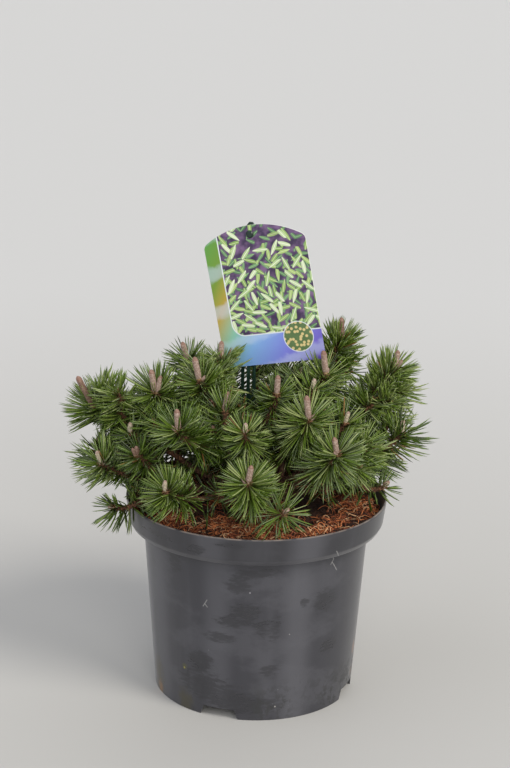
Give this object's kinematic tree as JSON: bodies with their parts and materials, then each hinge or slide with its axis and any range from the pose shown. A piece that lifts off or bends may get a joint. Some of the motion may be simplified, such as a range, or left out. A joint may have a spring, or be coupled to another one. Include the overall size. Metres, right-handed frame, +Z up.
{
  "type": "potted dwarf mugo pine",
  "caption": "Low dwarf mountain pine with dense bud-tipped shoots of paired needles, growing in a round plastic nursery pot with a plant label.",
  "frame": {"origin": "middle of the flat underside of the pot, on the surface that it stands on", "axes": "+Z up along the pot's axis; the front of the plant, where the label faces, looks along -Y; +X to its right as seen from the front"},
  "size_m": [0.3296, 0.2864, 0.411],
  "materials": {
    "pot_plastic": "dark grey moulded plastic, faintly glossy, with water marks and smudges",
    "soil": "loose peat with orange-brown coir fibres",
    "label_card": null,
    "label_stake": "black moulded plastic",
    "bark": "rough scaly grey-brown bark",
    "bough_bark": "ridged brown bark with leaf-scar scales",
    "needles": "mid green needles, satin, with pinkish brown resinous buds"
  },
  "bodies": {
    "root": {"pot": "pot_plastic", "root_ball": "soil", "label_card": "label_card", "label_stake": "label_stake", "trunk": "bark", "bough_left_low": "bough_bark", "foliage_left_low": "needles", "bough_left_middle": "bough_bark", "foliage_left_middle": "needles", "bough_left_high": "bough_bark", "foliage_left_high": "needles", "bough_left_upper": "bough_bark", "foliage_left_upper": "needles", "bough_left_top": "bough_bark", "foliage_left_top": "needles", "bough_front_left_low": "bough_bark", "foliage_front_left_low": "needles", "bough_front_left": "bough_bark", "foliage_front_left": "needles", "bough_front_low": "bough_bark", "foliage_front_low": "needles", "bough_front_upper": "bough_bark", "foliage_front_upper": "needles", "bough_front_right": "bough_bark", "foliage_front_right": "needles", "bough_front_right_low": "bough_bark", "foliage_front_right_low": "needles", "bough_right_low": "bough_bark", "foliage_right_low": "needles", "bough_right_high": "bough_bark", "foliage_right_high": "needles", "bough_right_upper": "bough_bark", "foliage_right_upper": "needles", "bough_right_top": "bough_bark", "foliage_right_top": "needles", "bough_back_low_1": "bough_bark", "foliage_back_low_1": "needles", "bough_back_low_2": "bough_bark", "foliage_back_low_2": "needles", "bough_back_low_3": "bough_bark", "foliage_back_low_3": "needles", "bough_back_low_4": "bough_bark", "foliage_back_low_4": "needles", "bough_back_low_5": "bough_bark", "foliage_back_low_5": "needles", "bough_back_upper_1": "bough_bark", "foliage_back_upper_1": "needles", "bough_back_upper_2": "bough_bark", "foliage_back_upper_2": "needles", "bough_back_upper_3": "bough_bark", "foliage_back_upper_3": "needles", "bough_back_upper_4": "bough_bark", "foliage_back_upper_4": "needles"}
  },
  "joints": []
}
